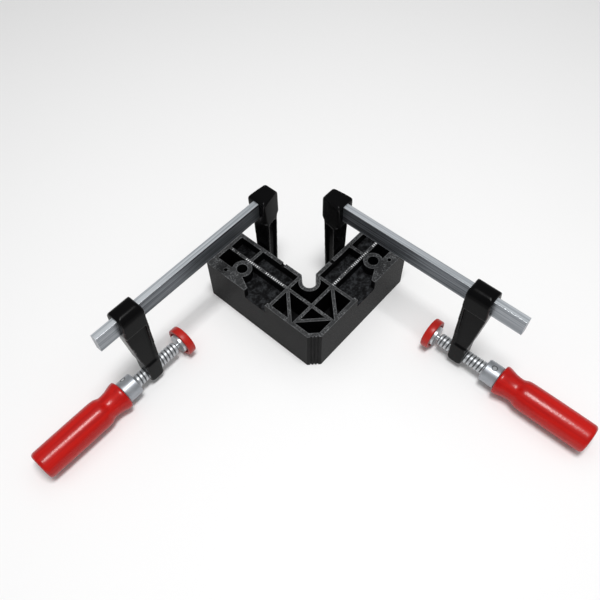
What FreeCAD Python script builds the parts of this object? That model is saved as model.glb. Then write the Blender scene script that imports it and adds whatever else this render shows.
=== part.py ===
"""Clamping square: a ribbed corner moulding with two small bar clamps. Millimetres.

The frame's origin is the square's ideal outer corner on the floor. One leg lies along +X,
the other along +Y, and +Z is up. Each clamp is drawn in its own clamp frame: x runs out
along its bar, from the square to the handle, y runs across the bar, and z is the height
above the floor. Its Placement then turns it onto the leg that it crosses.
"""
import FreeCAD, Part
import math
import os
import Sketcher
from FreeCAD import Placement, Rotation, Vector

NODE_DIR = "parts"

# Driving sizes: alias, millimetres or degrees, what it is
SIZES = [
    ("leg_length", 111.0, "outer corner to the end of a leg"),
    ("leg_width", 39.5, "outer face to inner face of a leg"),
    ("square_height", 42.0, "floor to top of the square"),
    ("nose_cut", 7.6, "bevel at the outer corner, along each face"),
    ("outer_wall", 3.5, "wall behind the outer faces"),
    ("inner_wall", 3.2, "wall behind the inner faces"),
    ("rib", 2.6, "thickness of every rib"),
    ("rib_line", 22.9, "outer face to the middle of the long rib"),
    ("cross_rib_at", 46.8, "outer corner to the first cross rib"),
    ("brace_at", 26.5, "outer corner to the foot of the corner brace"),
    ("notch_lip_end", 63.0, "outer corner to the nick in the inner wall's top"),
    ("nick_length", 3.0, "length of the nick"),
    ("nick_depth", 2.5, "depth of the nick"),
    ("end_shelf", 9.6, "width of the flat top beside the boss"),
    ("notch_radius", 5.4, "half width of the notch in the inner corner"),
    ("notch_depth", 5.2, "inner corner to the start of the notch's round end, along each leg"),
    ("notch_wall", 3.0, "wall round the notch"),
    ("pocket_depth", 9.0, "top of the ribs to the floor of the leg pockets"),
    ("corner_depth", 24.0, "top of the ribs to the floor of the corner cells"),
    ("web", 2.5, "thickness of the pocket floors"),
    ("boss_from_end", 25.0, "end of the leg to the boss"),
    ("boss_across", 13.9, "outer face to the middle of the boss"),
    ("boss_radius", 7.8, "outside radius of the boss"),
    ("boss_bore_radius", 4.25, "radius of the boss's bore"),
    ("boss_run_in", 5.8, "how far a pocket's corner runs in under the boss"),
    ("pilot_from_end", 16.0, "end of the leg to the small hole beside the boss"),
    ("pilot_across", 4.9, "outer face to the small hole"),
    ("pilot_radius", 1.5, "radius of the small hole"),
    ("window_from_rib", 1.4, "first cross rib to the low stretch of the outer wall"),
    ("window_to_boss", 15.5, "end of the low stretch to the middle of the boss"),
    ("groove_width", 1.1, "width of the grooves in the bevelled nose"),
    ("groove_depth", 0.8, "depth of the grooves in the bevelled nose"),
    ("groove_pitch", 2.5, "spacing of the grooves in the bevelled nose"),
    ("bar_height", 15.0, "height of the clamp bar"),
    ("bar_thickness", 5.0, "thickness of the clamp bar"),
    ("bar_reach", 111.0, "outer face of the square to the free end of the bar"),
    ("bar_level", 86.0, "floor to the middle of the bar"),
    ("floor_gap", 1.0, "floor to the pads or the handles, whichever reach lower"),
    ("arm_head_thickness", 16.5, "width of both arms across the bar, at the top"),
    ("foot_wall", 0.95, "metal on both sides of the spindle's bore, at the arms' feet"),
    ("fixed_crown", 3.5, "rounding of the two long top edges of the fixed arm's head"),
    ("slider_crown", 7.0, "rounding of the two long top edges of the sliding arm's head"),
    ("arm_corner", 3.6, "rounding of an arm's corners, seen from the side"),
    ("arm_web", 7.6, "width of the fixed arm between its sunk sides"),
    ("slider_web", 10.8, "width of the sliding arm between its sunk sides"),
    ("toe_wall", 2.45, "metal below the spindle's bore, at the arms' feet"),
    ("head_cover", 3.0, "metal above the bar in the fixed arm's head"),
    ("slider_cover", 3.5, "metal above the bar in the sliding arm's head"),
    ("fixed_head", 18.0, "length of the fixed arm's head along the bar"),
    ("fixed_tail", 11.0, "width of the fixed arm's head at its back"),
    ("fixed_head_drop", 4.5, "metal below the bar in the fixed arm's head"),
    ("head_overhang", 1.2, "how far the fixed arm's head stands out over the square"),
    ("step", 2.5, "height of the sloping step below the fixed arm's head"),
    ("fixed_root", 13.0, "depth of the fixed arm below its head"),
    ("fixed_tip", 10.0, "depth of the fixed arm at its foot"),
    ("anvil_radius", 6.5, "radius of the round face on the fixed arm"),
    ("anvil_height", 1.6, "how far that face stands out"),
    ("flange", 2.6, "edge left round the sunk sides of an arm"),
    ("slider_head", 18.5, "length of the sliding arm's head along the bar"),
    ("slider_shoulder", 19.5, "depth of the sliding arm at the bar's lower edge"),
    ("slider_knee", 15.5, "depth of the sliding arm above its foot"),
    ("slider_foot", 14.0, "inner edge of the sliding arm's head to the outer edge of its foot"),
    ("slider_lean", 2.0, "how far the inner edge comes out, from the head to the foot"),
    ("slider_foot_top", 29.0, "floor to the top of the sliding arm's foot"),
    ("slider_knee_level", 38.0, "floor to the bend in the sliding arm's outer edge"),
    ("slot_gap", 0.12, "clearance round the bar in the sliding arm"),
    ("work_gap", 49.0, "outer face of the square to the pad, at rest"),
    ("left_slider_at", 75.5, "outer face of the square to the left sliding arm"),
    ("right_slider_at", 68.5, "outer face of the square to the right sliding arm"),
    ("left_clamp_from_end", 21.0, "end of the leg to the left clamp's bar"),
    ("right_clamp_from_end", 32.0, "end of the leg to the right clamp's bar"),
    ("spindle_radius", 5.0, "outside radius of the spindle's thread"),
    ("spindle_bevel", 1.0, "bevel on the spindle's end"),
    ("running_gap", 0.05, "radial clearance of a turning fit"),
    ("cap_radius", 12.0, "radius of the pad's cap"),
    ("cap_front", 2.2, "thickness of the cap in front of the plate"),
    ("cap_lip", 1.4, "how far the cap's lip reaches over the plate's rim"),
    ("cap_lip_length", 1.8, "thickness of the cap's lip behind the plate's rim"),
    ("cap_wall", 1.8, "thickness of the cap round the pressure plate's rim"),
    ("plate_rim", 2.2, "thickness of the pressure plate's rim"),
    ("hub_gap", 0.6, "cap's lip to the pressure plate's hub"),
    ("hub_taper", 0.6, "how much smaller the hub's radius is at its back"),
    ("plate_front", 0.85, "metal between the socket and the front of the plate"),
    ("ball_radius", 2.8, "radius of the ball stud's ball"),
    ("ball_inset", 1.9, "back of the hub to the middle of the ball"),
    ("socket_mouth", 1.4, "middle of the ball to the straight mouth of its socket"),
    ("neck_radius", 2.0, "radius of the ball stud's shank"),
    ("neck_gap", 2.5, "plate hub to the shoulder of the spindle"),
    ("stud_depth", 8.0, "depth of the ball stud's shank in the spindle"),
    ("ferrule_at", 40.0, "shoulder of the spindle to the ferrule"),
    ("ferrule_length", 12.5, "length of the ferrule"),
    ("ferrule_radius", 8.8, "radius of the ferrule"),
    ("ferrule_edge", 0.8, "bevel on the ferrule's edges"),
    ("ferrule_pin_radius", 1.7, "radius of the pin through the ferrule"),
    ("ferrule_pin_inset", 0.3, "surface of the ferrule to the ends of its pin"),
    ("tang_radius", 3.8, "radius of the spindle's tang in the handle"),
    ("tang_length", 45.0, "length of the tang in the handle"),
    ("handle_length", 73.0, "length of the handle"),
    ("handle_mouth_radius", 11.6, "radius of the handle's front edge"),
    ("handle_waist_radius", 9.5, "radius of the handle's waist"),
    ("handle_belly_radius", 11.4, "radius of the handle behind its waist"),
    ("handle_end_radius", 11.2, "radius of the handle at its end"),
    ("handle_end_round", 2.6, "rounding of the handle's end"),
    ("handle_neck_length", 35.0, "front edge of the handle to its straight part"),
    ("left_turn", 35.0, "degrees that the left spindle stands turned at rest"),
    ("right_turn", 0.0, "degrees that the right spindle stands turned at rest"),
]

doc = FreeCAD.newDocument("clamping_square")
sheet = doc.addObject("Spreadsheet::Sheet", "Sizes")
for row, (alias, value, meaning) in enumerate(SIZES, start=1):
    sheet.set("A%d" % row, alias)
    sheet.set("B%d" % row, str(value))
    sheet.set("C%d" % row, meaning)
    sheet.setAlias("B%d" % row, alias)
doc.recompute()


class Size:
    """A length that knows its value and the expression that gives it from the sheet."""

    def __init__(self, value, text):
        self.value = float(value)
        self.text = text

    @staticmethod
    def of(other):
        return other if isinstance(other, Size) else Size(other, "%g" % other)

    def _join(self, other, sign, value):
        return Size(value, "(%s %s %s)" % (self.text, sign, Size.of(other).text))

    def __add__(self, other):
        return self._join(other, "+", self.value + Size.of(other).value)

    def __sub__(self, other):
        return self._join(other, "-", self.value - Size.of(other).value)

    def __mul__(self, other):
        return self._join(other, "*", self.value * Size.of(other).value)

    def __truediv__(self, other):
        return self._join(other, "/", self.value / Size.of(other).value)

    def __radd__(self, other):
        return Size.of(other) + self

    def __rsub__(self, other):
        return Size.of(other) - self

    def __rmul__(self, other):
        return Size.of(other) * self

    def __neg__(self):
        return Size(-self.value, "(-1 * %s)" % self.text)


def root(size):
    return Size(math.sqrt(size.value), "sqrt(%s)" % size.text)


def larger(first, second):
    return Size(max(first.value, second.value), "max(%s; %s)" % (first.text, second.text))


S = {alias: Size(value, "Sizes.%s" % alias) for alias, value, meaning in SIZES}

# Sizes that follow from others
S["boss_along"] = S["leg_length"] - S["boss_from_end"]
S["pilot_along"] = S["leg_length"] - S["pilot_from_end"]
S["window_start"] = S["cross_rib_at"] + S["rib"] / 2 + S["window_from_rib"]
S["window_end"] = S["boss_along"] - S["window_to_boss"]
S["left_clamp_at"] = S["leg_length"] - S["left_clamp_from_end"]
S["right_clamp_at"] = S["leg_length"] - S["right_clamp_from_end"]
S["axis_level"] = larger(S["cap_radius"], S["handle_mouth_radius"]) + S["floor_gap"]
S["spindle_bore"] = S["spindle_radius"] + S["running_gap"]
S["arm_foot_thickness"] = (S["spindle_bore"] + S["foot_wall"]) * 2
S["arm_end"] = S["spindle_bore"] + S["toe_wall"]
S["plate_radius"] = S["cap_radius"] - S["cap_wall"]
S["plate_hub_radius"] = S["plate_radius"] - S["cap_lip"] - S["hub_gap"]
S["plate_mouth_radius"] = S["plate_hub_radius"] - S["hub_taper"]
S["socket_radius"] = S["ball_radius"] + S["running_gap"]
S["plate_hub"] = S["ball_inset"] + S["socket_radius"] + S["plate_front"] - S["plate_rim"]

ZERO = Size(0, "0")
DIAGONAL = math.sqrt(2)
# Height of a quarter circle over its chord, for a radius of 1
QUARTER_BOW = 1 - 1 / DIAGONAL
# How far a cutting outline reaches past the solid
SPARE = 1.0
# Shorter than any true length in the model
TINY = 1e-6


# Building blocks

def new_body(label):
    body = doc.addObject("PartDesign::Body", label)
    body.Label = label
    return body


def new_sketch(body, name, role, offset=None):
    """A sketch on one of the body's own planes, moved along the plane's normal by offset."""
    sketch = body.newObject("Sketcher::SketchObject", name)
    plane = [item for item in body.Origin.OriginFeatures if item.Role == role][0]
    sketch.AttachmentSupport = [(plane, "")]
    sketch.MapMode = "FlatFace"
    if offset is not None:
        sketch.AttachmentOffset = Placement(Vector(0, 0, offset.value), Rotation())
        sketch.setExpression(".AttachmentOffset.Base.z", offset.text)
    return sketch


def bind(sketch, constraint, size):
    index = sketch.addConstraint(constraint)
    sketch.setExpression("Constraints[%d]" % index, size.text)


def pin_point(sketch, geometry, position, x, y):
    """Ties a point of the sketch to the sheet, measured from the sketch's origin."""
    for kind, axis, size in (("DistanceX", -2, Size.of(x)), ("DistanceY", -1, Size.of(y))):
        if size.text == "0":
            sketch.addConstraint(Sketcher.Constraint("PointOnObject", geometry, position, axis))
        else:
            made = Sketcher.Constraint(kind, -1, 1, geometry, position, size.value)
            bind(sketch, made, size)


def outline(sketch, corners):
    """A closed outline. A corner is (x, y), or (x, y, bow) where an arc runs on to the next corner.

    bow is the arc's height over its chord, positive when it bulges to the right of the way round.
    """
    first = sketch.GeometryCount
    count = len(corners)
    points = [Vector(Size.of(c[0]).value, Size.of(c[1]).value, 0) for c in corners]
    for index, corner in enumerate(corners):
        start, end = points[index], points[(index + 1) % count]
        if len(corner) == 3:
            chord = end - start
            bow = Size.of(corner[2]).value
            top = (start + end) * 0.5 + Vector(chord.y, -chord.x, 0).normalize() * bow
            # The sketcher wants its arcs drawn anticlockwise
            ends = (start, top, end) if bow > 0 else (end, top, start)
            sketch.addGeometry(Part.Arc(*ends), False)
        else:
            sketch.addGeometry(Part.LineSegment(start, end), False)
    ends = []
    for index in range(count):
        shape = sketch.Geometry[first + index]
        forward = shape.StartPoint.distanceToPoint(points[index]) < TINY
        ends.append((1, 2) if forward else (2, 1))
    for index in range(count):
        after = (index + 1) % count
        sketch.addConstraint(Sketcher.Constraint(
            "Coincident", first + index, ends[index][1], first + after, ends[after][0]))
        pin_point(sketch, first + index, ends[index][0], corners[index][0], corners[index][1])
    for index, corner in enumerate(corners):
        if len(corner) == 3:
            after = corners[(index + 1) % count]
            run, rise = Size.of(after[0]) - corner[0], Size.of(after[1]) - corner[1]
            bow = Size.of(corner[2])
            bow = bow if bow.value > 0 else -bow
            radius = ((run * run + rise * rise) / 4 + bow * bow) / (2 * bow)
            bind(sketch, Sketcher.Constraint("Radius", first + index, radius.value), radius)


def circle(sketch, x, y, radius):
    centre = Vector(Size.of(x).value, Size.of(y).value, 0)
    index = sketch.addGeometry(Part.Circle(centre, Vector(0, 0, 1), radius.value), False)
    pin_point(sketch, index, 3, x, y)
    bind(sketch, Sketcher.Constraint("Radius", index, radius.value), radius)


def pad(body, sketch, length, both_ways=False):
    feature = body.newObject("PartDesign::Pad", sketch.Name + "_pad")
    feature.Profile = sketch
    if both_ways:
        feature.SideType = "Symmetric"
    feature.Length = length.value
    feature.setExpression("Length", length.text)
    sketch.Visibility = False
    doc.recompute()
    return feature


def pocket(body, sketch, length, both_ways=False, other_way=False):
    """Cuts the sketch out, and stops if that leaves the solid as it was."""
    before = body.Shape.Volume
    feature = body.newObject("PartDesign::Pocket", sketch.Name + "_pocket")
    feature.Profile = sketch
    if both_ways:
        feature.SideType = "Symmetric"
    feature.Reversed = other_way
    feature.Length = length.value
    feature.setExpression("Length", length.text)
    doc.recompute()
    if not body.Shape.Volume < before - TINY:
        raise RuntimeError("%s cuts nothing" % feature.Name)
    return feature


def revolve(body, sketch):
    feature = body.newObject("PartDesign::Revolution", sketch.Name + "_turned")
    feature.Profile = sketch
    feature.ReferenceAxis = (sketch, ["H_Axis"])
    feature.Angle = 360
    doc.recompute()
    return feature


# The square

def on_both_legs(corners):
    """An outline given as (along, across) on the leg along +X, and its mirror image on the other."""
    mirrored = [(across, along) for along, across in corners]
    return [corners, mirrored[::-1]]


def corner_cells():
    """The deep cells of the corner: they lie between the long ribs, the cross ribs and the braces."""
    half = S["rib"] / 2
    slant = half * DIAGONAL
    low, high = S["rib_line"] - half, S["rib_line"] + half
    wall, inside = S["outer_wall"], S["leg_width"] - S["inner_wall"]
    cross = S["cross_rib_at"] - half
    tie = S["cross_rib_at"] - S["rib_line"]
    brace = S["brace_at"] + wall / 2
    nose = S["nose_cut"] + wall * DIAGONAL
    cells = [
        [(wall, nose - wall), (nose - wall, wall),
         (brace - slant - wall, wall), (wall, brace - slant - wall)],
        [(low, brace + slant - low), (low, low), (brace + slant - low, low)],
        [(high, high), (cross, high), (cross, inside), (inside, inside),
         (inside, cross), (high, cross)],
    ]
    cells += on_both_legs([(high, high - tie + slant), (low + tie - slant, low), (high, low)])
    cells += on_both_legs([(wall + tie + slant, wall), (cross, wall), (cross, cross - tie - slant)])
    return cells


def leg_pockets():
    """The shallow pockets of the legs, which run in under the boss that is added later."""
    half = S["rib"] / 2
    low, high = S["rib_line"] - half, S["rib_line"] + half
    wall, inside = S["outer_wall"], S["leg_width"] - S["inner_wall"]
    start, end = S["cross_rib_at"] + half, S["leg_length"] - S["inner_wall"]
    boss, corner = S["boss_along"], S["boss_run_in"]
    cells = on_both_legs([(start, wall), (S["window_end"], wall),
                          (boss - corner, S["boss_across"] - corner),
                          (boss, S["boss_across"]), (boss, low), (start, low)])
    cells += on_both_legs([(start, high), (boss - half, high), (boss - half, inside),
                           (start, inside)])
    cells += on_both_legs([(boss + half, high), (end, high), (end, inside),
                           (boss + half, inside)])
    return cells


def end_cells():
    """The deep cell between the boss, the long rib and the end wall of each leg."""
    low, end = S["rib_line"] - S["rib"] / 2, S["leg_length"] - S["inner_wall"]
    start = S["boss_along"] + S["boss_radius"] - S["boss_run_in"]
    return on_both_legs([(start, S["end_shelf"]), (end, S["end_shelf"]), (end, low), (start, low)])


def build_square():
    body = new_body("corner_square")
    length, width, high = S["leg_length"], S["leg_width"], S["square_height"]
    plan = new_sketch(body, "plan", "XY_Plane")
    outline(plan, [(S["nose_cut"], ZERO), (length, ZERO), (length, width), (width, width),
                   (width, length), (ZERO, length), (ZERO, S["nose_cut"])])
    pad(body, plan, high)
    for name, cells, depth in (("corner_cells", corner_cells() + end_cells(), S["corner_depth"]),
                               ("leg_pockets", leg_pockets(), S["pocket_depth"])):
        above = new_sketch(body, name, "XY_Plane", high)
        for cell in cells:
            outline(above, cell)
        pocket(body, above, depth)
        below = new_sketch(body, name + "_below", "XY_Plane")
        for cell in cells:
            outline(below, cell)
        pocket(body, below, high - depth - S["web"], other_way=True)
    # The bosses and the ring round the notch stand over the full height
    centre = width - S["notch_depth"] + S["notch_radius"] / DIAGONAL
    rings = new_sketch(body, "rings", "XY_Plane")
    circle(rings, S["boss_along"], S["boss_across"], S["boss_radius"])
    circle(rings, S["boss_across"], S["boss_along"], S["boss_radius"])
    circle(rings, centre, centre, S["notch_radius"] + S["notch_wall"])
    pad(body, rings, high)
    bores = new_sketch(body, "bores", "XY_Plane")
    for across, along, radius in (("boss_across", "boss_along", "boss_bore_radius"),
                                  ("pilot_across", "pilot_along", "pilot_radius")):
        circle(bores, S[along], S[across], S[radius])
        circle(bores, S[across], S[along], S[radius])
    circle(bores, centre, centre, S["notch_radius"])
    pocket(body, bores, high, other_way=True)
    # The notch's straight sides run out of the inner corner along the diagonal
    step = S["notch_radius"] / DIAGONAL
    reach = width + S["notch_radius"] * 2 - centre
    slot = new_sketch(body, "notch", "XY_Plane")
    outline(slot, [(centre - step, centre + step), (centre + step, centre - step),
                   (centre + step + reach, centre - step + reach),
                   (centre - step + reach, centre + step + reach)])
    pocket(body, slot, high, other_way=True)
    # The low stretch of each outer wall
    window = new_sketch(body, "windows", "XY_Plane", high)
    for stretch in on_both_legs([(S["window_start"], ZERO), (S["window_end"], ZERO),
                                 (S["window_end"], S["outer_wall"]),
                                 (S["window_start"], S["outer_wall"])]):
        outline(window, stretch)
    pocket(body, window, S["pocket_depth"])
    nick = new_sketch(body, "nicks", "XY_Plane", high)
    nick_end = S["notch_lip_end"] + S["nick_length"]
    for stretch in on_both_legs([(S["notch_lip_end"], width - S["inner_wall"]),
                                 (nick_end, width - S["inner_wall"]),
                                 (nick_end, width), (S["notch_lip_end"], width)]):
        outline(nick, stretch)
    pocket(body, nick, S["nick_depth"])
    # Upright grooves in the bevelled nose
    nose = new_sketch(body, "nose_grooves", "XY_Plane")
    middle = S["nose_cut"] / 2
    for place in (-1, 0, 1):
        shift = S["groove_pitch"] * place / DIAGONAL
        half, deep_in = S["groove_width"] / 2 / DIAGONAL, S["groove_depth"] / DIAGONAL
        x, y = middle + shift, middle - shift
        outline(nose, [(x - half - deep_in, y + half - deep_in),
                       (x + half - deep_in, y - half - deep_in),
                       (x + half + deep_in, y - half + deep_in),
                       (x - half + deep_in, y + half + deep_in)])
    pocket(body, nose, high, other_way=True)
    return body


# The clamps

def spindle_steps():
    """Places along the clamp's x axis that the pieces on the spindle share."""
    rim = S["work_gap"] + S["cap_front"]
    hub = rim + S["plate_rim"] + S["plate_hub"]
    shoulder = hub + S["neck_gap"]
    ferrule = shoulder + S["ferrule_at"]
    handle = ferrule + S["ferrule_length"]
    ball = hub - S["ball_inset"]
    return {"rim": rim, "hub": hub, "shoulder": shoulder, "ferrule": ferrule,
            "handle": handle, "ball": ball}


def turned(label, corners):
    """A body turned about the spindle axis: corners are (x, radius) pairs."""
    body = new_body(label)
    profile = new_sketch(body, label + "_profile", "XZ_Plane")
    outline(profile, corners)
    revolve(body, profile)
    return body


def build_bar(side):
    body = new_body(side + "_bar")
    half = S["bar_height"] / 2
    back = S["head_overhang"] - S["leg_width"] - S["fixed_head"] + S["head_cover"]
    face = new_sketch(body, side + "_bar_face", "XZ_Plane")
    outline(face, [(back, S["bar_level"] - half), (S["bar_reach"], S["bar_level"] - half),
                   (S["bar_reach"], S["bar_level"] + half), (back, S["bar_level"] + half)])
    pad(body, face, S["bar_thickness"], both_ways=True)
    return body


def soft_corner(first, second, radius):
    """A rounded corner between two points that lie radius away from it along its sides."""
    return [first + (radius * QUARTER_BOW,), second]


def shape_across(body, name, start, run, toe, top, crown):
    """Trims an arm's sides, so that it narrows to its foot, and rounds its head across the top."""
    section = new_sketch(body, name, "YZ_Plane", start)
    wide, slim = S["arm_head_thickness"] / 2, S["arm_foot_thickness"] / 2
    out, over = wide + SPARE, top + SPARE
    bow = crown * QUARTER_BOW
    outline(section, [(slim, toe), (out, toe), (out, over), (wide - crown, over),
                      (wide - crown, top, -bow), (wide, top - crown)])
    outline(section, [(-slim, toe), (-wide, top - crown, -bow), (crown - wide, top),
                      (crown - wide, over), (-out, over), (-out, toe)])
    pocket(body, section, run, other_way=True)


def sink_sides(body, name, web, corners):
    """Cuts both sides of an arm down to a web, inside the outline."""
    for way in (1, -1):
        sunk = new_sketch(body, name + ("_near" if way > 0 else "_far"), "XZ_Plane", web / 2 * way)
        outline(sunk, corners)
        pocket(body, sunk, S["arm_head_thickness"], other_way=(way > 0))


def bar_slot(body, name, start, run, gap):
    """Cuts the rectangular slot for the bar, with a clearance all round."""
    slot = new_sketch(body, name, "YZ_Plane", start)
    wide, tall = S["bar_thickness"] / 2 + gap, S["bar_height"] / 2 + gap
    outline(slot, [(-wide, S["bar_level"] - tall), (wide, S["bar_level"] - tall),
                   (wide, S["bar_level"] + tall), (-wide, S["bar_level"] + tall)])
    pocket(body, slot, run, other_way=True)


def build_fixed_arm(side):
    body = new_body(side + "_fixed_arm")
    front = S["head_overhang"] - S["leg_width"]
    shaft = -(S["leg_width"] + S["anvil_height"])
    back = front - S["fixed_head"]
    top = S["bar_level"] + S["bar_height"] / 2 + S["head_cover"]
    under = S["bar_level"] - S["bar_height"] / 2 - S["fixed_head_drop"]
    toe = S["axis_level"] - S["arm_end"]
    face = new_sketch(body, side + "_fixed_face", "XZ_Plane")
    soft, tip = S["arm_corner"], shaft - S["fixed_tip"]
    corners = soft_corner((tip, toe + soft), (tip + soft, toe), soft)
    corners += soft_corner((shaft - soft, toe), (shaft, toe + soft), soft)
    corners += [(shaft, under - S["step"]), (front, under)]
    corners += soft_corner((front, top - soft), (front - soft, top), soft)
    corners += soft_corner((back + soft, top), (back, top - soft), soft)
    corners += [(back, under), (shaft - S["fixed_root"], under - S["step"])]
    outline(face, corners)
    pad(body, face, S["arm_head_thickness"], both_ways=True)
    shape_across(body, side + "_fixed_section", back, S["fixed_head"], toe, top, S["fixed_crown"])
    # The arm gets narrower towards its back, over its whole height
    wide, slim, out = S["arm_head_thickness"] / 2, S["fixed_tail"] / 2, S["arm_head_thickness"]
    tail = new_sketch(body, side + "_fixed_tail", "XY_Plane", top)
    outline(tail, [(back, slim), (front, wide), (front, out), (back, out)])
    outline(tail, [(back, -slim), (back, -out), (front, -out), (front, -wide)])
    pocket(body, tail, top - toe)
    edge = S["flange"]
    sink_sides(body, side + "_fixed_sunk", S["arm_web"],
               [(tip + edge, toe + edge), (shaft - edge, toe + edge),
                (shaft - edge, under - S["step"] - edge),
                (shaft - S["fixed_root"] + edge, under - S["step"] - edge)])
    anvil = new_sketch(body, side + "_anvil", "YZ_Plane", shaft - S["flange"])
    circle(anvil, ZERO, S["axis_level"], S["anvil_radius"])
    pad(body, anvil, S["anvil_height"] + S["flange"])
    bar_slot(body, side + "_fixed_slot", back + S["head_cover"], S["fixed_head"], ZERO)
    return body


def build_sliding_arm(side):
    body = new_body(side + "_sliding_arm")
    start = S[side + "_slider_at"]
    top = S["bar_level"] + S["bar_height"] / 2 + S["slider_cover"]
    under = S["bar_level"] - S["bar_height"] / 2
    toe = S["axis_level"] - S["arm_end"]
    foot, knee = S["slider_foot_top"], S["slider_knee_level"]
    face = new_sketch(body, side + "_slider_face", "XZ_Plane")
    soft, heel, head = S["arm_corner"], start + S["slider_foot"], start + S["slider_head"]
    inner_toe = start + S["slider_lean"]
    corners = soft_corner((inner_toe, toe + soft), (inner_toe + soft, toe), soft)
    corners += soft_corner((heel - soft, toe), (heel, toe + soft), soft)
    corners += [(heel, foot), (start + S["slider_knee"], knee),
                (start + S["slider_shoulder"], under)]
    corners += soft_corner((head, top - soft), (head - soft, top), soft)
    corners += soft_corner((start + soft, top), (start, top - soft), soft)
    outline(face, corners)
    pad(body, face, S["arm_head_thickness"], both_ways=True)
    shape_across(body, side + "_slider_section", start, S["slider_shoulder"], toe, top,
                 S["slider_crown"])
    # The sunk panels are open towards the handle
    edge, outer = S["flange"], start + S["slider_shoulder"] + SPARE
    sink_sides(body, side + "_panel", S["slider_web"],
               [(inner_toe + edge, foot), (outer, foot), (outer, under - edge),
                (start + edge, under - edge)])
    bar_slot(body, side + "_slider_slot", start, S["slider_shoulder"], S["slot_gap"])
    bore = new_sketch(body, side + "_slider_bore", "YZ_Plane", start)
    circle(bore, ZERO, S["axis_level"], S["spindle_bore"])
    pocket(body, bore, S["slider_foot"], other_way=True)
    return body


def arc_height(radius, run, rise):
    """Height, over its chord, of an arc that spans run and rise."""
    return radius - root(radius * radius - (run * run + rise * rise) / 4)


def build_ball_stud(side):
    at = spindle_steps()
    ball, neck = S["ball_radius"], S["neck_radius"]
    past = root(ball * ball - neck * neck)
    tail = at["shoulder"] + S["stud_depth"]
    return turned(side + "_ball_stud",
                  [(at["ball"] - ball, ZERO), (tail, ZERO), (tail, neck),
                   (at["ball"] + past, neck, arc_height(ball, past + ball, neck))])


def build_pressure_plate(side):
    at = spindle_steps()
    socket, past = S["socket_radius"], S["socket_mouth"]
    mouth = root(socket * socket - past * past)
    back = at["rim"] + S["plate_rim"]
    return turned(side + "_pressure_plate",
                  [(at["rim"], ZERO),
                   (at["ball"] - socket, ZERO, -arc_height(socket, socket + past, mouth)),
                   (at["ball"] + past, mouth), (at["hub"], mouth),
                   (at["hub"], S["plate_mouth_radius"]), (back, S["plate_hub_radius"]),
                   (back, S["plate_radius"]), (at["rim"], S["plate_radius"])])


def build_pad_cap(side):
    at = spindle_steps()
    rear = at["rim"] + S["plate_rim"]
    edge = S["cap_lip"]
    return turned(side + "_pad_cap",
                  [(S["work_gap"], ZERO), (at["rim"], ZERO), (at["rim"], S["plate_radius"]),
                   (rear, S["plate_radius"]), (rear, S["plate_radius"] - edge),
                   (rear + S["cap_lip_length"], S["plate_radius"] - edge),
                   (rear + S["cap_lip_length"], S["cap_radius"] - edge),
                   (rear, S["cap_radius"]), (S["work_gap"] + edge, S["cap_radius"]),
                   (S["work_gap"], S["cap_radius"] - edge)])


def build_spindle(side):
    at = spindle_steps()
    bore = S["neck_radius"] + S["running_gap"]
    bottom = at["shoulder"] + S["stud_depth"] + S["spindle_bevel"]
    tail = at["handle"] + S["tang_length"]
    body = turned(side + "_spindle",
                  [(at["shoulder"], bore), (bottom, bore), (bottom, ZERO), (tail, ZERO),
                   (tail, S["tang_radius"]), (at["ferrule"], S["tang_radius"]),
                   (at["ferrule"], S["spindle_radius"]),
                   (at["shoulder"] + S["spindle_bevel"], S["spindle_radius"]),
                   (at["shoulder"], S["spindle_radius"] - S["spindle_bevel"])])
    drill_for_pin(body, side + "_spindle")
    return body


def build_ferrule(side):
    at = spindle_steps()
    edge = S["ferrule_edge"]
    body = turned(side + "_ferrule",
                  [(at["ferrule"], S["tang_radius"]), (at["handle"], S["tang_radius"]),
                   (at["handle"], S["ferrule_radius"] - edge),
                   (at["handle"] - edge, S["ferrule_radius"]),
                   (at["ferrule"] + edge, S["ferrule_radius"]),
                   (at["ferrule"], S["ferrule_radius"] - edge)])
    drill_for_pin(body, side + "_ferrule")
    return body


def pin_place():
    at = spindle_steps()
    return at["ferrule"] + S["ferrule_length"] / 2


def drill_for_pin(body, name):
    hole = new_sketch(body, name + "_drilled", "XY_Plane")
    circle(hole, pin_place(), ZERO, S["ferrule_pin_radius"])
    pocket(body, hole, (S["ferrule_radius"] + SPARE) * 2, both_ways=True)


def build_ferrule_pin(side):
    body = new_body(side + "_ferrule_pin")
    disc = new_sketch(body, side + "_pin_disc", "XY_Plane")
    circle(disc, pin_place(), ZERO, S["ferrule_pin_radius"])
    pad(body, disc, (S["ferrule_radius"] - S["ferrule_pin_inset"]) * 2, both_ways=True)
    return body


# The handle's front part, ring by ring: a size, and the share of the way to it from the waist
HANDLE_NECK = (("handle_mouth_radius", 1.0), ("handle_mouth_radius", 0.35),
               ("handle_waist_radius", 1.0), ("handle_belly_radius", 0.8),
               ("handle_belly_radius", 1.0), ("handle_belly_radius", 1.0))


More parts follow.
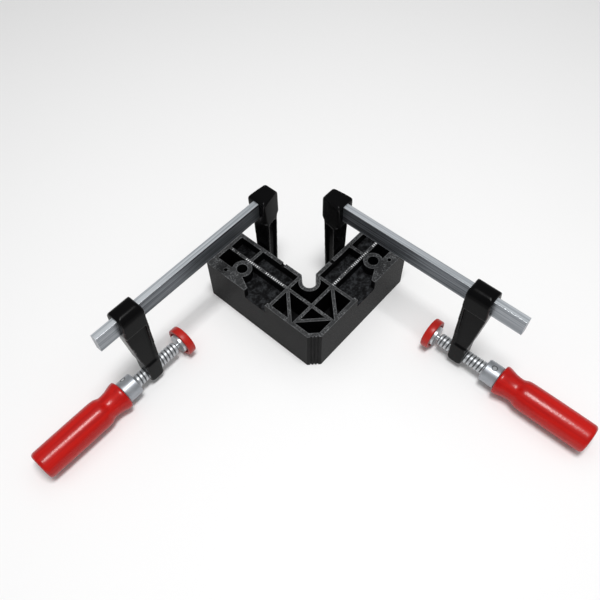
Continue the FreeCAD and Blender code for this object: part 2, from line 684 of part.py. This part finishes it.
def build_handle(side):
    """A turned wooden handle: a loft through evenly spaced circles, then a revolved end."""
    at = spindle_steps()
    start, soft, rim = at["handle"], S["handle_end_round"], S["handle_end_radius"]
    neck, tip = start + S["handle_neck_length"], start + S["handle_length"]
    body = new_body(side + "_handle")
    waist = S["handle_waist_radius"]
    rings = []
    for number, (towards, share) in enumerate(HANDLE_NECK):
        place = start + S["handle_neck_length"] * number / (len(HANDLE_NECK) - 1)
        ring = new_sketch(body, "%s_ring_%d" % (side, number), "YZ_Plane", place)
        circle(ring, ZERO, ZERO, waist + (S[towards] - waist) * share)
        rings.append(ring)
    loft = body.newObject("PartDesign::AdditiveLoft", side + "_handle_loft")
    loft.Profile = rings[0]
    loft.Sections = rings[1:]
    end = new_sketch(body, side + "_handle_end", "XZ_Plane")
    outline(end, [(neck, ZERO), (tip, ZERO), (tip, rim - soft, soft * QUARTER_BOW),
                  (tip - soft, rim), (neck, S["handle_belly_radius"])])
    revolve(body, end)
    bore = new_sketch(body, side + "_handle_bore", "YZ_Plane", start)
    circle(bore, ZERO, ZERO, S["tang_radius"])
    pocket(body, bore, S["tang_length"], other_way=True)
    return body


# A clamp's pieces: those drawn at their true height, then those turned about the spindle axis,
# which are drawn about z = 0 and lifted; the last ones also stand turned by the clamp's own angle
UPRIGHT_PIECES = (build_bar, build_fixed_arm, build_sliding_arm)
PAD_PIECES = (build_ball_stud, build_pressure_plate, build_pad_cap)
SCREW_PIECES = (build_spindle, build_ferrule, build_ferrule_pin, build_handle)

# A clamp's x axis points away from the square: to -X for the left clamp, to -Y for the right one
CLAMPS = {
    "left": (Vector(0, S["left_clamp_at"].value, 0), 180),
    "right": (Vector(S["right_clamp_at"].value, 0, 0), -90),
}


def build_clamp(side):
    """Builds one clamp and sets every piece onto the leg that it crosses."""
    where, angle = CLAMPS[side]
    seat = Placement(where, Rotation(Vector(0, 0, 1), angle))
    level = seat.multiply(Placement(Vector(0, 0, S["axis_level"].value), Rotation()))
    turn = Rotation(Vector(1, 0, 0), S[side + "_turn"].value)
    turned_level = level.multiply(Placement(Vector(), turn))
    made = []
    for builders, placement in ((UPRIGHT_PIECES, seat), (PAD_PIECES, level),
                                (SCREW_PIECES, turned_level)):
        for build in builders:
            body = build(side)
            body.Placement = placement
            made.append(body)
    return made


def main():
    nodes = [build_square()]
    for side in CLAMPS:
        nodes += build_clamp(side)
    doc.recompute()
    for item in doc.Objects:
        if "Invalid" in item.State or "Error" in item.State:
            raise RuntimeError("%s failed: %s" % (item.Name, item.State))
    os.makedirs(NODE_DIR, exist_ok=True)
    for body in nodes:
        if body.Shape.isNull() or not body.Shape.isValid():
            raise RuntimeError("%s has no valid shape" % body.Label)
        body.Shape.exportStep(os.path.join(NODE_DIR, body.Label + ".step"))
        print("%-24s %9.1f mm3  %d solid" % (body.Label, body.Shape.Volume, len(body.Shape.Solids)))


main()
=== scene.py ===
"""Looks of the clamping square: its materials, the threaded spindles, turned handles, moulded caps
and soft-edged castings, and the studio light and camera.

Metres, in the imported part's own frame: the square's outer corner is the origin, its legs run
along +X and +Y, and the bench is z = 0.
"""

import math

import bmesh
import bpy
from mathutils import Matrix, Quaternion, Vector


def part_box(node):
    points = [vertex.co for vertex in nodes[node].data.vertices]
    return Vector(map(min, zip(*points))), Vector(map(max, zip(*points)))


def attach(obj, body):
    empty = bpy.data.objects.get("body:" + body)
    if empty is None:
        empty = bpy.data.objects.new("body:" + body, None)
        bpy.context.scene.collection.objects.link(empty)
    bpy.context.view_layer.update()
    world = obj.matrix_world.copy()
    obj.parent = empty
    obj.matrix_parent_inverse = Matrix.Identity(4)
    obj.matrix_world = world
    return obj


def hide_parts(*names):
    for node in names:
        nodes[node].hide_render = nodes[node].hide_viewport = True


MM = 0.001
UP = Vector((0, 0, 1))
SIDES = ("left", "right")
# The way each clamp's bar runs out from the square, and the axis it lies on
OUTWARD = {"left": Vector((-1, 0, 0)), "right": Vector((0, -1, 0))}
ALONG = {"left": "X", "right": "Y"}
# How far each spindle stands turned, in degrees
CLAMP_TURN = {"left": 35, "right": 0}
THREAD_PITCH = 3.0 * MM
THREAD_DEPTH = 0.8 * MM

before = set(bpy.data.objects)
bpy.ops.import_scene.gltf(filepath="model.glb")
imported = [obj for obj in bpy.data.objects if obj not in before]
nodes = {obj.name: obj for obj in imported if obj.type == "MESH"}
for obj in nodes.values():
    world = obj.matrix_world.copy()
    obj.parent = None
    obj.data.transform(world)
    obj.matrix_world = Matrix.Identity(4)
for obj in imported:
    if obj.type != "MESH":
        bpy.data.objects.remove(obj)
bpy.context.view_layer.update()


# Node helpers

class Shader:
    """A material under construction, with short ways to add and join nodes."""

    def __init__(self, name):
        self.material = bpy.data.materials.new(name)
        self.material.use_nodes = True
        self.tree = self.material.node_tree
        self.tree.nodes.clear()
        self.surface = self.add("ShaderNodeBsdfPrincipled")
        output = self.add("ShaderNodeOutputMaterial")
        self.join(self.surface.outputs["BSDF"], output.inputs["Surface"])
        self.place = self.add("ShaderNodeTexCoord").outputs["Object"]

    def add(self, kind, **settings):
        node = self.tree.nodes.new(kind)
        for name, value in settings.items():
            setattr(node, name, value)
        return node

    def join(self, source, target):
        self.tree.links.new(source, target)

    def feed(self, socket, value):
        """Joins value to the socket if it is an output, else sets it there."""
        if isinstance(value, bpy.types.NodeSocket):
            self.join(value, socket)
        elif isinstance(value, tuple):
            socket.default_value = (*value, 1)
        else:
            socket.default_value = value

    def calc(self, operation, a, b=0.0, c=0.0):
        node = self.add("ShaderNodeMath", operation=operation)
        for socket, value in zip(node.inputs, (a, b, c)):
            self.feed(socket, value)
        return node.outputs[0]

    def noise(self, scale, detail=3.0, roughness=0.5, vector=None):
        """Noise with about scale features a metre."""
        node = self.add("ShaderNodeTexNoise")
        self.join(vector or self.place, node.inputs["Vector"])
        node.inputs["Scale"].default_value = scale
        node.inputs["Detail"].default_value = detail
        node.inputs["Roughness"].default_value = roughness
        return node.outputs["Fac"]

    def streaks(self, along, lengthwise, crosswise):
        """Noise drawn out along one axis, with its features a metre along and across it."""
        node = self.add("ShaderNodeMapping")
        self.join(self.place, node.inputs["Vector"])
        node.inputs["Scale"].default_value = [lengthwise if name == along else crosswise
                                              for name in "XYZ"]
        return self.noise(1.0, 4.0, 0.6, node.outputs["Vector"])

    def spread(self, value, low, high, to_low=0.0, to_high=1.0):
        """Maps low to high onto to_low to to_high in a soft step, clamped."""
        node = self.add("ShaderNodeMapRange", interpolation_type="SMOOTHSTEP")
        self.join(value, node.inputs["Value"])
        for name, number in (("From Min", low), ("From Max", high),
                             ("To Min", to_low), ("To Max", to_high)):
            node.inputs[name].default_value = number
        return node.outputs["Result"]

    def between(self, noise, low, high):
        """Maps the range that a noise mostly keeps to onto low to high."""
        return self.spread(noise, 0.3, 0.7, low, high)

    def window(self, value, start, end, blur):
        """1 between start and end, with a soft step as wide as blur inside each."""
        rise = self.spread(value, start, start + blur)
        fall = self.spread(value, end - blur, end)
        return self.calc("MULTIPLY", rise, self.calc("SUBTRACT", 1.0, fall))

    def blend(self, share, first, second):
        node = self.add("ShaderNodeMix", data_type="RGBA")
        self.feed(node.inputs["Factor"], share)
        colours = [socket for socket in node.inputs if socket.type == "RGBA"]
        for socket, colour in zip(colours, (first, second)):
            self.feed(socket, colour)
        return next(socket for socket in node.outputs if socket.type == "RGBA")

    def axis(self, name):
        """The place along X, Y or Z."""
        node = self.add("ShaderNodeSeparateXYZ")
        self.join(self.place, node.inputs[0])
        return node.outputs[name]

    def from_line(self, point, way):
        """Distance from the line through the point along the unit vector way."""
        offset = self.add("ShaderNodeVectorMath", operation="SUBTRACT")
        self.join(self.place, offset.inputs[0])
        offset.inputs[1].default_value = point
        beside = self.add("ShaderNodeVectorMath", operation="CROSS_PRODUCT")
        self.join(offset.outputs[0], beside.inputs[0])
        beside.inputs[1].default_value = way
        length = self.add("ShaderNodeVectorMath", operation="LENGTH")
        self.join(beside.outputs[0], length.inputs[0])
        return length.outputs["Value"]

    def facing_up(self):
        """1 on surfaces that face up, 0 on upright and hanging ones."""
        geometry = self.add("ShaderNodeNewGeometry")
        split = self.add("ShaderNodeSeparateXYZ")
        self.join(geometry.outputs["True Normal"], split.inputs[0])
        return self.spread(split.outputs["Z"], 0.6, 0.9)

    def softened(self, radius, samples):
        """The surface's normal as if its sharp edges were rounded to the radius."""
        bevel = self.add("ShaderNodeBevel", samples=samples)
        bevel.inputs["Radius"].default_value = radius
        return bevel.outputs["Normal"]

    def near_edge(self, radius):
        """1 close to the sharp edges, 0 further than about the radius from them."""
        geometry = self.add("ShaderNodeNewGeometry")
        dot = self.add("ShaderNodeVectorMath", operation="DOT_PRODUCT")
        self.join(self.softened(radius, 8), dot.inputs[0])
        self.join(geometry.outputs["Normal"], dot.inputs[1])
        return self.spread(self.calc("SUBTRACT", 1.0, dot.outputs["Value"]), 0.002, 0.06)

    def bump(self, height, depth, target="Normal"):
        """Bumps one of the surface's normals by height times depth metres."""
        node = self.add("ShaderNodeBump")
        node.inputs["Distance"].default_value = depth
        self.join(height, node.inputs["Height"])
        self.join(node.outputs["Normal"], self.surface.inputs[target])
        return node

    def relief(self, height, depth, edge):
        """Bumps the surface over edges that are softened by edge metres."""
        self.join(self.softened(edge, 6), self.bump(height, depth).inputs["Normal"])

    def finish(self, **values):
        """Sets inputs of the surface by name, with underscores for spaces."""
        for name, value in values.items():
            self.feed(self.surface.inputs[name.replace("_", " ")], value)
        return self.material


# Palette, in linear red, green and blue: a pair is a surface's darkest and lightest colour

PLASTIC = ((0.0025, 0.0025, 0.0028), (0.005, 0.005, 0.0055))
# Rib tops: worn grey in specks, with a painted highlight along their edges
RIB_WEAR_AND_HIGHLIGHT = (0.17, 0.175, 0.18)
# Painted highlight: light dashes along the long ribs' tops
RIB_DASH_HIGHLIGHT = (0.85, 0.86, 0.87)
POCKET_DUST = (0.034, 0.036, 0.039)
COAT = ((0.002, 0.002, 0.0022), (0.004, 0.004, 0.0043))
# Painted light on the bars: sides painted darker than the top as painted shade, lighter at the free
# end as painted reflection, corners lit as a painted highlight
SHADED_BAR_SIDE = ((0.05, 0.056, 0.064), (0.19, 0.205, 0.225))
BAR_SIDE_END_REFLECTION = ((0.2, 0.215, 0.232), (0.37, 0.39, 0.42))
LIT_BAR_TOP = ((0.5, 0.54, 0.58), (0.76, 0.8, 0.84))
BAR_CORNER_HIGHLIGHT = (0.8, 0.83, 0.86)
ZINC = ((0.5, 0.52, 0.54), (0.66, 0.68, 0.7))
# The thread's groove colour is painted shade
THREAD_GROOVE_SHADE = (0.12, 0.125, 0.13)
THREAD_CREST = ((0.46, 0.48, 0.5), (0.6, 0.62, 0.64))
FERRULE = ((0.26, 0.28, 0.305), (0.46, 0.48, 0.51))
PIN_SEAM = (0.03, 0.032, 0.035)
LACQUER = ((0.38, 0.003, 0.002), (0.5, 0.006, 0.003))
RED_PLASTIC = ((0.38, 0.008, 0.005), (0.48, 0.014, 0.008))
PAPER = ((0.86, 0.86, 0.86), (0.88, 0.88, 0.88))

# The square: its long ribs, and how deep under its top the pocket floors lie

RIB_LINE = 22.9 * MM
RIB_DASH_PITCH = 1.9 * MM
RIB_DASH_START = 47 * MM
RIB_DASH_END_GAP = 5 * MM
POCKET_FLOORS = (4 * MM, 14 * MM)


def rib_dash_highlights(s, along, across):
    """A row of painted highlight dashes on the long rib of one leg, between the corner cells and the
    end.
    """
    leg_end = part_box("corner_square")[1].x
    lengthwise, sideways = s.axis(along), s.axis(across)
    wave = s.calc("SINE", s.calc("MULTIPLY", lengthwise, 2 * math.pi / RIB_DASH_PITCH))
    broken = s.calc("MULTIPLY", s.spread(wave, 0.0, 0.8), s.spread(s.noise(150.0, 2.0), 0.42, 0.56))
    beside = s.calc("ABSOLUTE", s.calc("SUBTRACT", sideways, RIB_LINE))
    on_rib = s.calc("SUBTRACT", 1.0, s.spread(beside, 0.5 * MM, 0.95 * MM))
    in_leg = s.window(lengthwise, RIB_DASH_START, leg_end - RIB_DASH_END_GAP, 2 * MM)
    return s.calc("MULTIPLY", s.calc("MULTIPLY", broken, on_rib), in_leg)


def square_plastic():
    """Black glass-filled plastic: rib tops are worn and dusty, with painted highlights along their
    edges and in a row of light dashes; pocket floors are mottled grey.
    """
    s = Shader("square_plastic")
    square_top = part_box("corner_square")[1].z
    up, height = s.facing_up(), s.axis("Z")
    top = s.calc("MULTIPLY", up, s.spread(height, square_top - 1.0 * MM, square_top - 0.2 * MM))
    shallow, deep = POCKET_FLOORS
    in_pockets = s.window(height, square_top - deep, square_top - shallow, 3 * MM)
    grain, patches = s.noise(900.0, 4.0, 0.7), s.noise(200.0, 3.0, 0.6)
    colour = s.blend(s.between(patches, 0.0, 1.0), *PLASTIC)
    # The ribs' tops are worn grey in specks, and a light line along their edges is a painted
    # highlight
    speckle = s.calc("MULTIPLY", s.spread(grain, 0.5, 0.6), s.spread(patches, 0.34, 0.6))
    edges = s.calc("MULTIPLY_ADD", s.near_edge(1.3 * MM), 0.3, 0.16)
    wear_and_highlight = s.calc("MULTIPLY_ADD", speckle, 0.6, edges)
    colour = s.blend(s.calc("MULTIPLY", top, wear_and_highlight), colour, RIB_WEAR_AND_HIGHLIGHT)
    # The long ribs' tops are ribbed across; their glints are painted into the colour as a row of
    # light dashes, a painted highlight
    dashes = s.calc("MAXIMUM", rib_dash_highlights(s, "X", "Y"), rib_dash_highlights(s, "Y", "X"))
    colour = s.blend(s.calc("MULTIPLY", top, dashes), colour, RIB_DASH_HIGHLIGHT)
    mottle = s.spread(s.noise(260.0, 5.0, 0.75), 0.42, 0.7)
    dust = s.calc("MULTIPLY", s.calc("MULTIPLY", up, in_pockets), mottle)
    colour = s.blend(dust, colour, POCKET_DUST)
    s.relief(grain, 0.12 * MM, 0.35 * MM)
    return s.finish(Base_Color=colour, Roughness=s.between(grain, 0.34, 0.52),
                    Specular_IOR_Level=0.06)


# Materials of the clamps

def black_coat():
    """Satin black powder coat with a fine orange peel, glossier on the rounded edges."""
    s = Shader("black_coat")
    wide = s.noise(60.0, 2.0)
    s.bump(s.noise(700.0, 2.0), 0.01 * MM)
    rounded = s.spread(s.add("ShaderNodeNewGeometry").outputs["Pointiness"], 0.51, 0.56)
    return s.finish(Base_Color=s.blend(wide, *COAT), Roughness=s.between(wide, 0.18, 0.26),
                    Specular_IOR_Level=0.045, Coat_Weight=rounded, Coat_Roughness=0.2)


def zinc_bar(side):
    """Bright zinc on a rolled bar, with painted light: its sides are painted darker than its top as
    painted shade, lighter near its free end as a painted reflection, and its corners carry a painted
    highlight.
    """
    along = ALONG[side]
    s = Shader("zinc_bar_" + along.lower())
    streaks = s.streaks(along, 8, 900)
    broad = s.spread(streaks, 0.4, 0.6)
    free_end = -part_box(side + "_bar")[0].dot(OUTWARD[side])
    # Painted reflection: the sides turn lighter over the last few centimetres to the free end
    inner = s.spread(s.axis(along), free_end + 28 * MM, free_end + 36 * MM)
    sides = s.blend(inner, s.blend(broad, *BAR_SIDE_END_REFLECTION), s.blend(broad, *SHADED_BAR_SIDE))
    # Painted light: the top is lighter than the sides
    top = s.blend(s.spread(streaks, 0.35, 0.65), *LIT_BAR_TOP)
    # Painted highlight: a light line along the bar's corners
    corners = s.calc("MULTIPLY", s.near_edge(0.5 * MM), 0.7)
    colour = s.blend(corners, s.blend(s.facing_up(), sides, top), BAR_CORNER_HIGHLIGHT)
    s.relief(streaks, 0.02 * MM, 0.35 * MM)
    return s.finish(Base_Color=colour, Metallic=0.8, Roughness=s.between(streaks, 0.3, 0.44))


def bright_zinc():
    s = Shader("bright_zinc")
    cloud = s.noise(240.0)
    s.relief(cloud, 0.01 * MM, 0.15 * MM)
    return s.finish(Base_Color=s.blend(cloud, *ZINC), Metallic=0.9,
                    Roughness=s.between(cloud, 0.3, 0.4))


def thread_zinc(side):
    """Zinc on a rolled thread, bright on the crests, with painted shade darkening the grooves."""
    s = Shader("thread_zinc_" + side)
    low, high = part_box(side + "_spindle")
    crest = (high.z - low.z) / 2
    height = s.spread(s.from_line((low + high) / 2, OUTWARD[side]),
                      crest - THREAD_DEPTH * 0.9, crest - THREAD_DEPTH * 0.1)
    cloud = s.noise(240.0)
    # Painted shade: the grooves are darker than the crests
    colour = s.blend(height, THREAD_GROOVE_SHADE, s.blend(cloud, *THREAD_CREST))
    return s.finish(Base_Color=colour, Metallic=0.8, Roughness=s.between(cloud, 0.4, 0.5))


def pin_way(side):
    """Direction of the ferrule's cross pin, which stands turned by the clamp's own angle."""
    return Quaternion(OUTWARD[side], math.radians(CLAMP_TURN[side])) @ UP


def dull_zinc(side):
    """Zinc on the ferrule, with a dark seam round each end of its cross pin."""
    s = Shader("dull_zinc_" + side)
    cloud = s.noise(160.0, 4.0)
    low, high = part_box(side + "_ferrule_pin")
    beyond = s.spread(s.from_line((low + high) / 2, pin_way(side)), 1.9 * MM, 2.5 * MM)
    colour = s.blend(beyond, PIN_SEAM, s.blend(cloud, *FERRULE))
    s.relief(cloud, 0.02 * MM, 0.3 * MM)
    return s.finish(Base_Color=colour, Metallic=0.7, Roughness=s.between(cloud, 0.36, 0.48))


def red_wood(side):
    """Red lacquer over turned wood, with a faint grain along the handle."""
    along = ALONG[side]
    s = Shader("red_wood_" + along.lower())
    grain = s.streaks(along, 14, 260)
    s.bump(grain, 0.006 * MM)
    s.bump(s.noise(420.0, 2.0), 0.1 * MM, "Coat Normal")
    return s.finish(Base_Color=s.blend(s.spread(grain, 0.35, 0.68), *LACQUER),
                    Roughness=s.between(grain, 0.36, 0.48), Specular_IOR_Level=0.06,
                    Coat_Weight=0.5, Coat_Roughness=0.24)


def red_plastic():
    s = Shader("red_plastic")
    cloud = s.noise(90.0)
    s.relief(s.noise(1200.0, 2.0), 0.03 * MM, 0.4 * MM)
    return s.finish(Base_Color=s.blend(cloud, *RED_PLASTIC), Roughness=s.between(cloud, 0.3, 0.42),
                    Specular_IOR_Level=0.3)


def floor_paper():
    s = Shader("floor_paper")
    return s.finish(Base_Color=s.blend(s.noise(3.0, 2.0), *PAPER), Roughness=0.9)


def paint(obj, material):
    obj.data.materials.clear()
    obj.data.materials.append(material)


# Turned pieces

AROUND = 64
SHARP_ANGLE = math.radians(40)
TANG_RADIUS = 3.8 * MM
FIT_GAP = 0.05 * MM


def turned_mesh(name, centre, out, rings):
    """A closed mesh turned about the line through centre along out.

    Each ring is a place along the axis with one radius, or with a list of one radius for every
    step around. A ring of radius 0 becomes a single point.
    """
    shape = bmesh.new()
    before = None
    for place, radius in rings:
        middle = centre + out * place
        if radius == 0:
            ring = [shape.verts.new(middle)]
        else:
            radii = radius if isinstance(radius, list) else [radius] * AROUND
            ring = []
            for step, reach in enumerate(radii):
                angle = 2 * math.pi * step / AROUND
                spoke = UP * math.cos(angle) - out.cross(UP) * math.sin(angle)
                ring.append(shape.verts.new(middle + spoke * reach))
        if before:
            for step in range(AROUND):
                corners = (before[step % len(before)], before[(step + 1) % len(before)],
                           ring[(step + 1) % len(ring)], ring[step % len(ring)])
                # A ring that is a single point leaves three corners
                shape.faces.new(tuple(dict.fromkeys(corners)))
        before = ring
    bmesh.ops.recalc_face_normals(shape, faces=shape.faces)
    mesh = bpy.data.meshes.new(name)
    shape.to_mesh(mesh)
    shape.free()
    mesh.shade_smooth()
    mesh.set_sharp_from_angle(angle=SHARP_ANGLE)
    obj = bpy.data.objects.new(name, mesh)
    bpy.context.scene.collection.objects.link(obj)
    return obj


def axis_of(side, node):
    """Start and end of a node along its clamp's axis, and the point where the axis starts."""
    out = OUTWARD[side]
    low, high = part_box(side + "_" + node)
    start, end = sorted((low.dot(out), high.dot(out)))
    middle = (low + high) / 2
    return start, end, middle - out * middle.dot(out)


# Threaded spindles

STEPS_PER_TURN = 25
CREST_SHARE = 0.58
FLANK_SHARE = 0.12
THREAD_RUNOUT = 2.0 * MM
CHAMFER = 1.0 * MM
STUD_BORE_RADIUS = 2.05 * MM
STUD_BORE_DEPTH = 9.0 * MM


def trapezoid(turns):
    """Depth of a rolled thread after so many turns: 0 on its crest, 1 at its root."""
    share = turns % 1.0
    return max(0.0, min(1.0, (share - CREST_SHARE) / FLANK_SHARE, (1.0 - share) / FLANK_SHARE))


def spindle_mesh(side):
    """The spindle with its thread, in place of the plain CAD cylinder."""
    start, end, centre = axis_of(side, "spindle")
    neck = axis_of(side, "ferrule")[0]
    low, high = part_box(side + "_spindle")
    radius = (high.z - low.z) / 2
    rings = [(start + STUD_BORE_DEPTH, 0), (start + STUD_BORE_DEPTH, STUD_BORE_RADIUS),
             (start, STUD_BORE_RADIUS), (start, radius - CHAMFER), (start + CHAMFER, radius)]
    run = neck - start - CHAMFER
    count = int(run / THREAD_PITCH * STEPS_PER_TURN)
    for number in range(1, count):
        place = start + CHAMFER + run * number / count
        from_ends = min(place - start, neck - place)
        depth = THREAD_DEPTH * min(1.0, from_ends / THREAD_RUNOUT)
        rings.append((place, [radius - depth * trapezoid(place / THREAD_PITCH - step / AROUND)
                              for step in range(AROUND)]))
    rings += [(neck, radius), (neck, TANG_RADIUS), (end, TANG_RADIUS), (end, 0)]
    return turned_mesh(side + "_threaded_spindle", centre, OUTWARD[side], rings)


# Turned handles and moulded caps

# Along the handle from its mouth in millimetres, and the radius there
HANDLE_PROFILE = ((0.0, 10.6), (0.4, 11.25), (1.3, 11.6), (3.0, 11.5), (6.0, 10.7),
                  (9.0, 9.95), (12.0, 9.55), (14.0, 9.5), (15.5, 9.75), (17.0, 10.4),
                  (18.5, 10.95), (20.5, 11.25), (24.0, 11.38), (30.0, 11.4), (45.0, 11.4),
                  (60.0, 11.3), (69.0, 11.2), (70.8, 11.1), (72.0, 10.6), (72.75, 9.7),
                  (73.0, 8.4))
PROFILE_STEPS = 4
# The pad's cap from its face in millimetres, with its lip behind the pressure plate's rim
CAP_PROFILE = ((0.0, 0), (0.0, 11.2), (0.25, 11.75), (0.8, 12.0), (5.3, 12.0), (5.9, 11.8),
               (6.2, 11.3), (6.2, 9.5), (6.05, 9.3), (4.45, 9.3), (4.45, 10.25), (2.15, 10.25),
               (2.15, 0))


def smooth_profile(points):
    """The points with more places between each two, on a smooth curve through all of them."""
    padded = (points[0], *points, points[-1])
    places = []
    for before, a, b, after in zip(padded, padded[1:], padded[2:], padded[3:]):
        run = b[0] - a[0]
        first = run * (b[1] - before[1]) / (b[0] - before[0])
        last = run * (after[1] - a[1]) / (after[0] - a[0])
        for step in range(PROFILE_STEPS):
            t = step / PROFILE_STEPS
            eased = t * t * (3 - 2 * t)
            bow = t * (1 - t) * ((1 - t) * first - t * last)
            places.append((a[0] + run * t, (1 - eased) * a[1] + eased * b[1] + bow))
    places.append(points[-1])
    return places


def handle_mesh(side):
    """The lacquered handle, turned with a finer curve than the CAD one."""
    mouth, end, centre = axis_of(side, "handle")
    bore, bottom = TANG_RADIUS + FIT_GAP, axis_of(side, "spindle")[1] + FIT_GAP
    rings = [(bottom, 0), (bottom, bore), (mouth, bore)]
    rings += [(mouth + place * MM, radius * MM) for place, radius in smooth_profile(HANDLE_PROFILE)]
    rings.append((end, 0))
    return turned_mesh(side + "_turned_handle", centre, OUTWARD[side], rings)


def cap_mesh(side):
    """The pad's cap, with a crisper lip than the CAD one."""
    face, _, centre = axis_of(side, "pad_cap")
    rings = [(face + place * MM, radius * MM) for place, radius in CAP_PROFILE]
    return turned_mesh(side + "_moulded_cap", centre, OUTWARD[side], rings)


# Cast arms

CAST_VOXEL = 0.45 * MM
SMOOTH_ROUNDS = 24
KEPT_FACES = 0.3


def round_edges(obj):
    """Gives a casting its soft edges: an even mesh is smoothed, and then loses most of its faces."""
    remesh = obj.modifiers.new("even_mesh", "REMESH")
    remesh.mode = "VOXEL"
    remesh.voxel_size = CAST_VOXEL
    remesh.use_smooth_shade = True
    smooth = obj.modifiers.new("soft_edges", "SMOOTH")
    smooth.factor = 0.5
    smooth.iterations = SMOOTH_ROUNDS
    lighten = obj.modifiers.new("fewer_faces", "DECIMATE")
    lighten.ratio = KEPT_FACES


# Building the looks

zinc, plastic, coat = bright_zinc(), red_plastic(), black_coat()
paint(nodes["corner_square"], square_plastic())
for side in SIDES:
    wood = red_wood(side)
    finishes = {"bar": zinc_bar(side), "fixed_arm": coat, "sliding_arm": coat,
                "ball_stud": zinc, "spindle": zinc, "ferrule": dull_zinc(side),
                "ferrule_pin": zinc, "handle": wood, "pressure_plate": zinc, "pad_cap": plastic}
    for part, material in finishes.items():
        paint(nodes[side + "_" + part], material)
    for arm in ("fixed_arm", "sliding_arm"):
        round_edges(nodes[side + "_" + arm])
    for make, material, body, node, slot in (
            (spindle_mesh, thread_zinc(side), "screw", "spindle", "bright_steel"),
            (handle_mesh, wood, "screw", "handle", "red_wood"),
            (cap_mesh, plastic, "pad", "pad_cap", "red_plastic")):
        piece = make(side)
        paint(piece, material)
        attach(piece, side + "_" + body)
        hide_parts(side + "_" + node)


# Floor and light

FLOOR_SIZE = 6.0
# The floor lies a little under the bench plane, clear of the pieces that stand on it
FLOOR_HEIGHT = -0.2 * MM
SKY_STRENGTH = 0.3
KEY_POWER = 4.2
OVERHEAD_POWER = 8.5


def area_light(name, place, target, size, power):
    """A rectangular light that points from its place at the target."""
    light = bpy.data.lights.new(name, "AREA")
    light.shape = "RECTANGLE"
    light.size, light.size_y = size
    light.energy = power
    obj = bpy.data.objects.new(name, light)
    bpy.context.scene.collection.objects.link(obj)
    obj.location = place
    obj.rotation_mode = "QUATERNION"
    obj.rotation_quaternion = (Vector(target) - Vector(place)).to_track_quat("-Z", "Y")
    return obj


bpy.ops.mesh.primitive_plane_add(size=FLOOR_SIZE, location=(0, 0, FLOOR_HEIGHT))
floor = bpy.context.active_object
floor.name = "floor"
paint(floor, floor_paper())

world = bpy.data.worlds.new("studio")
bpy.context.scene.world = world
world.use_nodes = True
background = world.node_tree.nodes["Background"]
background.inputs["Color"].default_value = (1.0, 1.0, 1.0, 1)
background.inputs["Strength"].default_value = SKY_STRENGTH

# Each handle mirrors its own light to the camera, as a long narrow highlight
area_light("left_key", (-0.08, -0.06, 1.1), (-0.08, 0.09, 0.013), (0.34, 0.12), KEY_POWER)
area_light("right_key", (-0.05, -0.15, 1.1), (0.079, -0.15, 0.013), (0.12, 0.34), KEY_POWER)
# A wide soft box overhead lights the bench evenly, but the glossy pieces don't mirror it
overhead = area_light("overhead", (0, 0, 1.6), (0, 0, 0), (2.4, 2.4), OVERHEAD_POWER)
overhead.visible_glossy = False
bpy.context.scene.view_settings.view_transform = "Standard"


# Camera, at the photo's place and angle

CAMERA_PLACE = Vector((-0.1756, -0.1452, 0.4408))
CAMERA_RIGHT = Vector((0.658, -0.753, -0.011)).normalized()
CAMERA_BACK = Vector((-0.411, -0.372, 0.833)).normalized()
# In millimetres: on the photo's 600 pixels they give a focal length of 640 pixels
LENS = 38.4
SENSOR_WIDTH = 36.0

camera_data = bpy.data.cameras.new("camera")
camera_data.lens = LENS
camera_data.sensor_width = SENSOR_WIDTH
camera = bpy.data.objects.new("camera", camera_data)
bpy.context.scene.collection.objects.link(camera)
above = CAMERA_BACK.cross(CAMERA_RIGHT).normalized()
turned = Matrix((above.cross(CAMERA_BACK), above, CAMERA_BACK)).transposed().to_4x4()
camera.matrix_world = Matrix.Translation(CAMERA_PLACE) @ turned
bpy.context.scene.camera = camera

bpy.context.view_layer.update()
